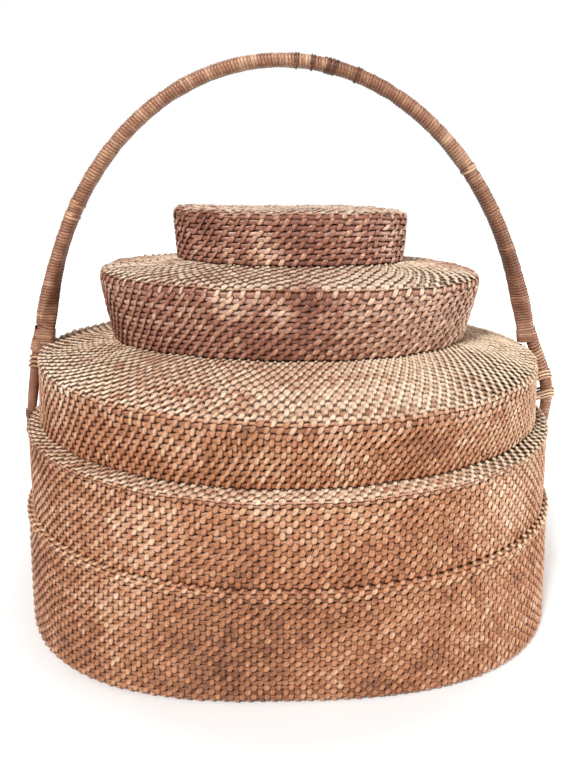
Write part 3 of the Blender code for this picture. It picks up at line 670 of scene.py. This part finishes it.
FULL_ROD_SHARES = np.array([0.0, 0.03, 0.055, 0.16, 0.46, 0.77, 0.9, 0.945])
LID_LEAN = 0.55
LID_SPREAD = (0.72, 0.76, 1.02, 1.0, 0.85)
LID_FOOT_OUT = 0.011
LID_TILT = -0.0125
lid_top_low, lid_top_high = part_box("lid_top")
lid_low, lid_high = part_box("lid_wall")
LID_TOP_POWER = 2.35
LID_RIM_OUT = 0.0015
LID_WAIST_OUT, LID_WAIST_SHARE = 0.0025, 0.55
lid_foot = inset(mouth, -LID_FOOT_OUT, lid_low.z)
lid_rim = outline(lid_top_high, LID_TOP_POWER)
# Darker copies of the body's rattan for the lid's and the knob's walls: painted shade.
shaded_lid_strips = rattan(
    "shaded lid strip rattan", (0.16, 0.062, 0.047), (0.4, 0.168, 0.108), (0.95, 0.66, 0.46), gloss=0.5)
shaded_lid_rods = rattan("shaded lid rod rattan", (0.12, 0.055, 0.047), (0.3, 0.135, 0.1), (0.74, 0.5, 0.4))
SHADED_LID_WALL = dict(body="lid", lean=LID_LEAN, shares=FULL_ROD_SHARES, materials=(shaded_lid_rods, shaded_lid_strips))
lid_waist = inset(lid_rim, -LID_WAIST_OUT, lid_high.z)
lid_waist = (1 - LID_WAIST_SHARE) * lid_foot + LID_WAIST_SHARE * lid_waist
lid_wall = loft([lid_foot, lid_waist, inset(lid_rim, -LID_RIM_OUT, lid_high.z)], 11,
                [0, LID_TILT / 2, LID_TILT])
woven("lid_wall", lid_wall, LID_COLUMNS, seed=18, spread=LID_SPREAD, **SHADED_LID_WALL)

# Seat and collar under the lid. The flat seat is the ring that the lid stands on, and the collar is the
# upright ring inside it, which drops through the mouth and keeps the lid from sliding off.

seat_low, seat_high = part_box("lid_seat")
collar_low, collar_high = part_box("lid_collar")
COLLAR_THICKNESS = 0.004
SEAT_RIM = 0.0008
collar_line = inset(outline(collar_high, MOUTH_POWER), SEAT_RIM, collar_low.z)
collar = loft([collar_line, inset(collar_line, 0, collar_high.z)], 8)
woven("lid_collar", collar, LID_COLUMNS, seed=23, body="lid", thickness=COLLAR_THICKNESS, **INNER)
seat_line = inset(outline(seat_high, MOUTH_POWER), SEAT_RIM, seat_low.z + SEAT_RIM)
lid_seat = loft([
    inset(collar_line, -GAP - SEAT_RIM, seat_low.z + SEAT_RIM), seat_line,
    inset(seat_line, 0, seat_high.z)], 4, rounding=0.5)
woven("lid_seat", lid_seat, LID_COLUMNS, seed=24, body="lid", thickness=THIN_WALL, **INNER)

# Lid top, a nearly flat oval panel. It is woven on from the rim of the lid wall, over a rounded edge, in to
# the foot of the knob.

LID_ROUND = 0.006
LID_TOP_RISE = 0.004
LID_WIDTH_SHARE = 0.48
knob_low, knob_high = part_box("knob_wall")
KNOB_FOOT_HALF_DEPTH = 0.034
KNOB_POWER = 2.45
KNOB_FOOT_OUT = 0.002
knob_foot = np.array([knob_high.x, KNOB_FOOT_HALF_DEPTH, KNOB_POWER, knob_low.z])


def rounded_edge(rim, out, low, radius, high):
    """Outlines of a tier's rounded edge, from out over the rim at low to the radius inside it at high."""
    return [inset(rim, -out, low), inset(rim, 0.2 * radius - out, high - 0.3 * radius),
            inset(rim, radius, high)]


lid_top = loft([
    *rounded_edge(lid_rim, LID_RIM_OUT, lid_top_low.z, LID_ROUND, lid_top_high.z - LID_TOP_RISE),
    inset(knob_foot, -KNOB_FOOT_OUT, lid_top_high.z),
    inset(knob_foot, WALL, lid_top_high.z)], 13, LID_TILT, rounding=0.8)
# Lid top rattan, painted paler where it lies level, as light from above.
lid_strips = rattan(
    "lid top strip rattan", (0.18, 0.065, 0.045), (0.42, 0.18, 0.11), (0.9, 0.73, 0.55), top_light=0.27)
lid_rods = rattan(
    "lid top rod rattan", (0.12, 0.05, 0.04), (0.33, 0.14, 0.095), (0.8, 0.6, 0.44), top_light=0.26, gloss=0.3)
LID_FLAT = dict(FLAT, body="lid", share=LID_WIDTH_SHARE, materials=(lid_rods, lid_strips))
woven("lid_top", lid_top, LID_COLUMNS, seed=19, spread=LID_SPREAD, parity=1, **LID_FLAT)

# Knob, a small hollow oval ring with a flat top, by which the lid is lifted. Its wall is woven like the
# lid's, and its top is an oval spiral round a straight spine.

KNOB_COLUMNS = 90
KNOB_SPREAD = (0.72, 0.85, 1.05, 1.15, 1.1)
KNOB_ROUND = 0.0035
KNOB_RIM_OUT = 0.0008
knob_top_low, knob_top_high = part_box("knob_top")
knob_rim = outline(knob_top_high, KNOB_POWER)
knob_wall = loft([knob_foot, inset(knob_rim, -KNOB_RIM_OUT, knob_high.z)], 8, LID_TILT)
woven("knob_wall", knob_wall, KNOB_COLUMNS, seed=20, spread=KNOB_SPREAD, **SHADED_LID_WALL)
knob_top = loft([
    *rounded_edge(knob_rim, KNOB_RIM_OUT, knob_top_low.z, KNOB_ROUND, knob_top_high.z),
    [knob_rim[0] - knob_rim[1], SPINE_HALF_DEPTH, 2.0, knob_top_high.z]], 11, LID_TILT)
woven("knob_top", knob_top, KNOB_COLUMNS, seed=21, disc=True, thickness=THIN_WALL, **LID_FLAT)

# Handle canes. Two round canes are bent over the basket as one arch. The inner one ends on the shoulder, and
# the outer one, whose ends are thinner, goes down outside the top tier to the shelf, as the handle's legs.

ARCH_HALF_WIDTH, ARCH_LEAN, ARCH_CENTRE, ARCH_RISE = 0.18, 0.0055, 0.134, 0.2365
CANE_TOP_RADIUS, CANE_FOOT_RADIUS = 0.0027, 0.0032
TWIST_START = np.radians(55)
LEG_SLOPE = 0.38
RIGHT_LEG_OUT = 0.0045
LEFT_LEG = ((0.117, 0.1985), (0.175, 0.1855))
LEG_RADIUS = 0.0036
LEG_FULL, LEG_TIP = (0.147, 0.18), 0.7
INNER_PARED = (0.3, 0.5)
TIP_HEIGHT = 0.117
FOOT_HEIGHT, SPLIT_HEIGHT, SHELF_LEVEL = 0.187, 0.2, 0.138
CANE_STATIONS, LEG_STATIONS, CANE_SIDES, CANE_POWER = 161, 41, 16, 2.0
STRAND_POWER, STRAND_SIDES = 3.2, 8
front = np.array([0.0, -1.0, 0.0])


def arch_angle(height):
    """Angle from the crown at which the arch's middle line is at a height."""
    return np.arccos((height - ARCH_CENTRE) / ARCH_RISE)


def arch(angle):
    """Middle line of the handle, half an ellipse that leans a little to -X, and its pace along the angle."""
    sine, cosine, flat = np.sin(angle), np.cos(angle), np.zeros_like(angle)
    x, z = ARCH_HALF_WIDTH * sine - ARCH_LEAN * cosine, ARCH_CENTRE + ARCH_RISE * cosine
    pace = np.stack([ARCH_HALF_WIDTH * cosine + ARCH_LEAN * sine, flat, -ARCH_RISE * sine], -1)
    return np.stack([x, flat, z], -1), pace


foot_angle, split_angle = arch_angle(FOOT_HEIGHT), arch_angle(SPLIT_HEIGHT)


def away_from(pace):
    """The way out of the arch, square to its pace."""
    return unit(np.stack([-pace[..., 2], pace[..., 1], pace[..., 0]], -1))


def leg_line(height, side):
    """Middle line of a leg, from the split out to the shelf's edge: eased at the right, bent at the left."""
    point, pace = arch(side * split_angle)
    start = point + away_from(pace) * (CANE_FOOT_RADIUS + GAP / 2)
    span = start[..., 2] - SHELF_LEVEL
    share = np.clip((start[..., 2] - height) / span, 0, 1)
    rise = share * share * (3 - 2 * share)
    line = shelf_high.x + GAP + CANE_FOOT_RADIUS + RIGHT_LEG_OUT * (side > 0)
    eased = np.abs(start[..., 0]) * (1 - rise) + LEG_SLOPE * span * share * (1 - share) ** 2 + line * rise
    top = (start[..., 2].min(), np.abs(start[..., 0]).min())
    bent = np.interp(height, *np.array([*LEFT_LEG, top]).T)
    x = side * np.where(np.asarray(side) < 0, bent, eased)
    return np.stack([x, height * 0, height], -1)


def cane_pair(angle):
    """Centres of the inner and the outer cane and their radius.

    At the crown the canes lie one before the other, and from there they turn side by side toward the feet.
    """
    point, pace = arch(angle)
    radius = np.interp(np.abs(angle) / foot_angle, [0, 1], [CANE_TOP_RADIUS, CANE_FOOT_RADIUS])
    share = np.clip((np.abs(angle) - TWIST_START) / (split_angle - TWIST_START), 0, 1)
    tilt = (np.pi / 2 * share ** 3)[..., None]
    apart = unit(away_from(pace) * np.sin(tilt) + front * np.cos(tilt)) * (radius + GAP / 2)[..., None]
    outer = point + apart
    leg = leg_line(outer[..., 2], np.sign(angle))
    outer = np.where((np.abs(angle) > split_angle)[..., None], leg, outer)
    pared = 1 - np.where(angle < 0, *INNER_PARED) * share ** 3
    inner = point - apart * pared[..., None]
    return inner, outer, radius * pared, radius


def leg_size(height):
    """Radius of a leg, which fills out under the split and is pared thinner toward its tip."""
    return np.interp(height, [TIP_HEIGHT, *LEG_FULL, SPLIT_HEIGHT],
                     [LEG_TIP * LEG_RADIUS, LEG_RADIUS, LEG_RADIUS, CANE_FOOT_RADIUS])


def swept(name, path, out, half_width, half_depth, tone, finish, power=STRAND_POWER,
          sides=STRAND_SIDES, node=None):
    """Closed strand along a path: at each point a rounded oval, wide square to the path and thick along out.

    The oval is (w cos f, d sin f) / (|cos f|^p + |sin f|^p)^(1/p), and both ends are closed by a flat face.
    finish is the material and the slot. The sides of a flat strip carry painted shade.
    """
    tangent = unit(np.gradient(path, axis=0))
    out = unit(out - tangent * (out * tangent).sum(axis=-1, keepdims=True))
    side = np.cross(tangent, out)
    turn = 2 * np.pi * (np.arange(sides) + 0.5) / sides - np.pi / 2
    reach = (np.abs(np.cos(turn)) ** power + np.abs(np.sin(turn)) ** power) ** (-1 / power)
    wide = np.broadcast_to(half_width, len(path))[:, None] * np.cos(turn) * reach
    deep = np.broadcast_to(half_depth, len(path))[:, None] * np.sin(turn) * reach
    points = path[:, None] + side[:, None] * wide[..., None] + out[:, None] * deep[..., None]
    length = walked(norm(np.diff(path, axis=0)))
    tones = np.broadcast_to(tone, len(path))[:, None]
    strand = np.stack(np.broadcast_arrays(length[:, None], np.cos(turn), tones), -1)
    # Painted shade on the edges and the underside of a flat strip, between its turns.
    shade = np.broadcast_to(np.clip(0.5 - 0.9 * np.sin(turn), 0, 1) * (power > 2.5), points.shape[:2]).copy()
    ring = np.arange(sides)
    row = (np.arange(len(path) - 1) * sides)[:, None]
    after = (ring + 1) % sides
    quads = np.stack([row + ring, row + sides + ring, row + sides + after, row + after], -1).reshape(-1, 4)
    caps = np.stack([ring, ring[::-1] + sides * (len(path) - 1)])
    material, slot = finish
    settle(mesh_piece(name, points, [quads, caps], strand, shade, material), "basket", node or name)


CANE = rattan("cane skin", (0.13, 0.05, 0.035), (0.28, 0.12, 0.075), (0.56, 0.32, 0.21), 0.3, 1.1), "cane"
inner, outer, thin, radius = cane_pair(np.linspace(-foot_angle, foot_angle, CANE_STATIONS))
swept("handle_inner_cane", inner, front, thin, thin, 0.4, CANE, CANE_POWER, CANE_SIDES)
inner, outer, thin, radius = cane_pair(np.linspace(-split_angle, split_angle, CANE_STATIONS))
leg_heights = np.linspace(outer[-1, 2], TIP_HEIGHT, LEG_STATIONS)[1:]
leg_radius = leg_size(leg_heights)
whole = np.concatenate([leg_line(leg_heights, -1.0)[::-1], outer, leg_line(leg_heights, 1.0)])
radius = np.concatenate([leg_radius[::-1], radius, leg_radius])
swept("handle_outer_cane", whole, front, radius, radius, 0.5, CANE, CANE_POWER, CANE_SIDES)

# Handle binding. One thin split strip is wound tightly round both canes, about 260 times, from one neck over
# the crown to the other. At the right it goes on down the leg, and at the left it ends in a knot on the leg.

STRIP_DEPTH = 0.0008
BINDING_HALF_WIDTH = 0.00098
BINDING_PITCH = 0.0021
TURN_POINTS = 20
TURN_NOISE = 0.00012
TURN_START = 0.5
binding_angle = arch_angle(0.1905)
fine = np.linspace(-foot_angle, foot_angle, 4001)
arch_walk = walked(norm(np.diff(arch(fine)[0], axis=0)))


def round_canes(angle, turn, distance):
    """Points at a distance from both canes, as a tight strip goes round them, and the way out from there."""
    inner, outer, thin, radius = cane_pair(angle)
    apart = unit(outer - inner)
    tangent = unit(arch(angle)[1])
    tangent = unit(tangent - apart * (tangent * apart).sum(axis=-1, keepdims=True))
    way = np.cross(front, tangent) * np.cos(turn)[..., None] + front * np.sin(turn)[..., None]
    near_outer = (way * apart).sum(axis=-1, keepdims=True) > 0
    reach = np.where(near_outer[..., 0], radius, thin) + distance
    return np.where(near_outer, outer, inner) + way * reach[..., None], way


def by_turn(values, done):
    """Values that change from one turn of a strip to the next, at the number of turns done."""
    return np.interp(done, np.arange(len(values)), values)


def wound(name, start, stop, turns, distance, half_width, half_depth, finish, seed, node=None):
    """Strip wound round both canes from one angle to another, with even steps along the arch."""
    chance = np.random.default_rng(seed)
    share = np.linspace(0, 1, int(turns * TURN_POINTS) + 1)
    done = turns * share
    walk = np.interp([start, stop], fine, arch_walk)
    angle = np.interp(walk[0] + (walk[1] - walk[0]) * share, arch_walk, fine)
    tone = by_turn(chance.uniform(0, 1, int(turns) + 3), done)
    bulge = by_turn(chance.normal(0, TURN_NOISE, int(turns) + 3), done)
    path, way = round_canes(angle, 2 * np.pi * done + TURN_START, distance + bulge)
    swept(name, path, way, half_width, half_depth, tone, finish, node=node)


BINDING = (rattan("binding strip", (0.19, 0.085, 0.055), (0.35, 0.165, 0.1), (0.84, 0.58, 0.38),
                  strand_share=0.25, stain_share=1.5), "binding_strip")
binding_turns = np.diff(np.interp([-binding_angle, binding_angle], fine, arch_walk))[0] / BINDING_PITCH
wound("handle_binding_strip", -binding_angle, binding_angle, binding_turns, GAP + STRIP_DEPTH / 2,
      BINDING_HALF_WIDTH, STRIP_DEPTH / 2, BINDING, 31, node="handle_binding")


def round_leg(name, top, foot, side, turns, distance, half_width, half_depth, finish, seed, node=None):
    """Strip wound round one leg from one height down to another."""
    chance = np.random.default_rng(seed)
    count = int(turns * TURN_POINTS) + 1
    height = np.linspace(top, foot, count)
    done = np.linspace(0, turns, count)
    turn = 2 * np.pi * done
    centre = leg_line(height, side)
    away = np.cross(unit(np.gradient(centre, axis=0)), front) * -side
    way = away * np.cos(turn)[:, None] + front * np.sin(turn)[:, None]
    tone = by_turn(chance.uniform(0, 1, int(turns) + 3), done)
    path = centre + way * (leg_size(height) + distance)[:, None]
    swept(name, path, way, half_width, half_depth, tone, finish, node=node)


round_leg("handle_binding_leg", 0.189, TIP_HEIGHT + 0.002, 1.0, 30, GAP + 0.0003, 0.00105, 0.0003, BINDING,
          32, "handle_binding")
round_leg("handle_binding_knot", 0.1885, 0.1815, -1.0, 3.5, GAP + 0.0008, 0.0011, 0.0007, BINDING, 33,
          "handle_binding")

# Bands. Separate strips lie over the binding: dark ones near the crown, pale ones lower down on both sides,
# and a few turns round each neck, where the binding of the two canes ends.

DARK = (rattan("dark strip", (0.05, 0.018, 0.014), (0.15, 0.06, 0.042), (0.3, 0.15, 0.1), 0.4, 0.8),
        "dark_strip")
LIGHT = (rattan("light strip", (0.26, 0.12, 0.07), (0.56, 0.3, 0.165), (0.92, 0.68, 0.44), 0.4, 0.9),
         "pale_strip")
NECK = (rattan("neck strip", (0.17, 0.07, 0.045), (0.34, 0.155, 0.09), (0.8, 0.55, 0.36), 0.35, 1.2),
        "pale_strip")
OVER = GAP + STRIP_DEPTH + 0.0002
BAND_HALF_DEPTH = 0.0003
neck_angle = arch_angle(0.1852)


def angle_at(share):
    """Angle at which the arch's middle line is a share of its half width along X."""
    reach = np.hypot(ARCH_HALF_WIDTH, ARCH_LEAN)
    return np.arcsin(share * ARCH_HALF_WIDTH / reach) + np.arctan(ARCH_LEAN / ARCH_HALF_WIDTH)


def band(name, start, turns, pitch, half_width, finish, seed):
    """A few turns of strip over the binding, from an angle toward the crown."""
    step = pitch * turns / norm(arch(np.array(start))[1])
    wound(name, start, start - np.sign(start) * step, turns, OVER, half_width, BAND_HALF_DEPTH, finish, seed)


THIN_DARK = (1.25, 0.0016, 0.0006, DARK)
PALE = (1.25, 0.002, 0.0009, LIGHT)
for name, start, kind, seed in (
        ("dark_band", angle_at(0.153), (3, 0.0024, 0.001, DARK), 34),
        ("thin_dark_band_1", angle_at(0.0195), THIN_DARK, 35),
        ("thin_dark_band_2", angle_at(0.075), THIN_DARK, 36),
        ("thin_dark_band_3", angle_at(0.2335), THIN_DARK, 37),
        ("left_pale_band_1", angle_at(-0.797), PALE, 39),
        ("left_pale_band_2", angle_at(-0.822), PALE, 40),
        ("right_pale_band_1", angle_at(0.664), PALE, 41),
        ("right_pale_band_2", angle_at(0.844), PALE, 42),
        ("left_neck_winding", -neck_angle, (6, 0.0021, 0.001, NECK), 43),
        ("right_neck_winding", neck_angle, (5, 0.0021, 0.0009, NECK), 44)):
    band(name, start, *kind, seed)

# Lashings. Pale strands come out of the upper wall, go three times round a leg and back into the weave,
# and so tie the handle to the basket. A dark strand is wound round the left leg just over the shelf.

LASHING_HALF_WIDTH, LASHING_HALF_DEPTH = 0.0009, 0.0006
LASHING_LOOPS = 3
LASHING_POWER = 2.6
RIGHT_LASHING_OUT = 0.0006
SHOULDER_LEVEL = 0.175


def lashing(name, height, side, pitch, fall, seed):
    """Strand that runs from the wall round the leg and back, three times, each loop lower by the pitch.

    Half a circle lies round the outside of the leg. From there the strand falls to the wall on both sides.
    """
    reach = LEG_RADIUS + GAP + LASHING_HALF_DEPTH + (RIGHT_LASHING_OUT if side > 0 else 0)
    turn = np.linspace(-np.pi / 2, np.pi / 2, TURN_POINTS + 1)
    around = np.stack([side * np.cos(turn), np.sin(turn), turn * 0], -1)
    wall_share = (height - top_low.z) / (SHOULDER_LEVEL - top_low.z)
    wall = side * ((1 - wall_share) * waist[0] + wall_share * shoulder[0] - LASHING_HALF_DEPTH)
    run = np.linspace(0, 1, 7)[:-1, None]
    paths, ways = [], []
    for loop in range(LASHING_LOOPS):
        level = height - pitch * (loop + 0.25 * (1 + turn / np.pi * 2))
        bend = leg_line(level, side) + around * reach
        starts = np.array([wall, -0.8 * reach, level[0] - fall])
        stops = np.array([wall, 0.8 * reach, level[-1] - fall])
        paths += [starts * (1 - run) + bend[0] * run, bend, bend[-1] * run[::-1] + stops * (1 - run[::-1])]
        ways += [np.broadcast_to(around[0], (6, 3)), around, np.broadcast_to(around[-1], (6, 3))]
    path, way = np.concatenate(paths), np.concatenate(ways)
    tone = 0.5 + 0.3 * np.sin(np.arange(len(path)) * 0.13 + seed)
    swept(name, path, way, LASHING_HALF_WIDTH, LASHING_HALF_DEPTH, tone, LIGHT, LASHING_POWER)


lashing("left_upper_lashing", 0.1775, -1.0, 0.0034, 0.0015, 1)
lashing("right_upper_lashing", 0.1645, 1.0, 0.0024, 0.005, 2)
lashing("right_lower_lashing", 0.149, 1.0, 0.0024, 0.005, 3)
round_leg("left_tip_tie", 0.1345, 0.1295, -1.0, 2.25, GAP + 0.0004, 0.0006, 0.0004, DARK, 45)

# Stage, camera and light. A pale paper floor holds the soft shadow, and the camera stands where the
# photograph was taken from. A lamp high at the left and a weaker one at the right light the basket.

FRAME_WIDTH = 576
FOCAL_PIXELS = 586.0
SENSOR = 36.0
CAMERA_DISTANCE = 0.415
CAMERA_HEIGHT = 0.307
OBJECT_TURN, CAMERA_YAW, CAMERA_PITCH, CAMERA_ROLL = np.radians([2.39, 0.19, 20.0, 0.36])
PRINCIPAL_RISE = 3.0
WHITE, PAPER = (1, 1, 1, 1), (0.82, 0.81, 0.8, 1)
SKY_STRENGTH = 0.33
FLOOR_HALF = 3.0
FLOOR_NEAR, FLOOR_FAR, PAPER_GLOW = 0.17, 0.36, (0.02, 0.9)
LAMP_TARGET = (0, 0, 0.12)
scene = bpy.context.scene
lens = bpy.data.cameras.new("camera")
lens.sensor_fit = "HORIZONTAL"
lens.sensor_width = SENSOR
lens.lens = FOCAL_PIXELS / FRAME_WIDTH * SENSOR
lens.shift_y = -PRINCIPAL_RISE / FRAME_WIDTH
lens.clip_start = 0.01
camera = placed("camera", lens)
turned = Matrix.Rotation(CAMERA_YAW - OBJECT_TURN, 4, "Z")
spot = Matrix.Rotation(-OBJECT_TURN, 4, "Z") @ Vector((0, -CAMERA_DISTANCE, CAMERA_HEIGHT))
camera.matrix_world = (Matrix.Translation(spot) @ turned @ Matrix.Rotation(np.pi / 2 - CAMERA_PITCH, 4, "X")
                       @ Matrix.Rotation(CAMERA_ROLL, 4, "Z"))
scene.camera = camera

world = bpy.data.worlds.new("studio")
world.use_nodes = True
scene.world = world
tree = world.node_tree
rays = add(tree, "ShaderNodeLightPath", {}).outputs
seen = maths(tree, "MAXIMUM", rays["Is Camera Ray"], rays["Is Transmission Ray"])
feed(tree, tree.nodes["Background"], {
    "Color": WHITE, "Strength": ranged(tree, seen, 0.0, 1.0, SKY_STRENGTH)})

floor_mesh = bpy.data.meshes.new("floor")
corners = [(x * FLOOR_HALF, y * FLOOR_HALF, 0) for x, y in ((-1, -1), (1, -1), (1, 1), (-1, 1))]
floor_mesh.from_pydata(corners, [], [(0, 1, 2, 3)])
floor = placed("floor", floor_mesh)
paper = bpy.data.materials.new("paper")
paper.use_nodes = True
tree = paper.node_tree
rays = add(tree, "ShaderNodeLightPath", {}).outputs
spot = add(tree, "ShaderNodeTexCoord", {}).outputs["Object"]
away = add(tree, "ShaderNodeVectorMath", {0: spot}, operation="LENGTH").outputs["Value"]
glow = maths(tree, "MULTIPLY", rays["Is Camera Ray"], ranged(tree, away, FLOOR_NEAR, FLOOR_FAR, *PAPER_GLOW))
feed(tree, tree.nodes["Principled BSDF"], {
    "Base Color": PAPER, "Roughness": 0.9, "Emission Color": WHITE, "Emission Strength": glow})
floor_mesh.materials.append(paper)


def lamp(name, place, size, energy):
    """A square soft lamp that faces the basket."""
    light = bpy.data.lights.new(name, "AREA")
    light.size = size
    light.energy = energy
    holder = placed(name, light)
    holder.location = place
    holder.rotation_euler = (Vector(LAMP_TARGET) - Vector(place)).to_track_quat("-Z", "Y").to_euler()


lamp("key lamp", (-0.42, -0.75, 1.05), 0.2, 13.5)
lamp("side lamp", (1.05, -0.3, 0.45), 0.6, 8.0)

scene.view_settings.view_transform = "Standard"
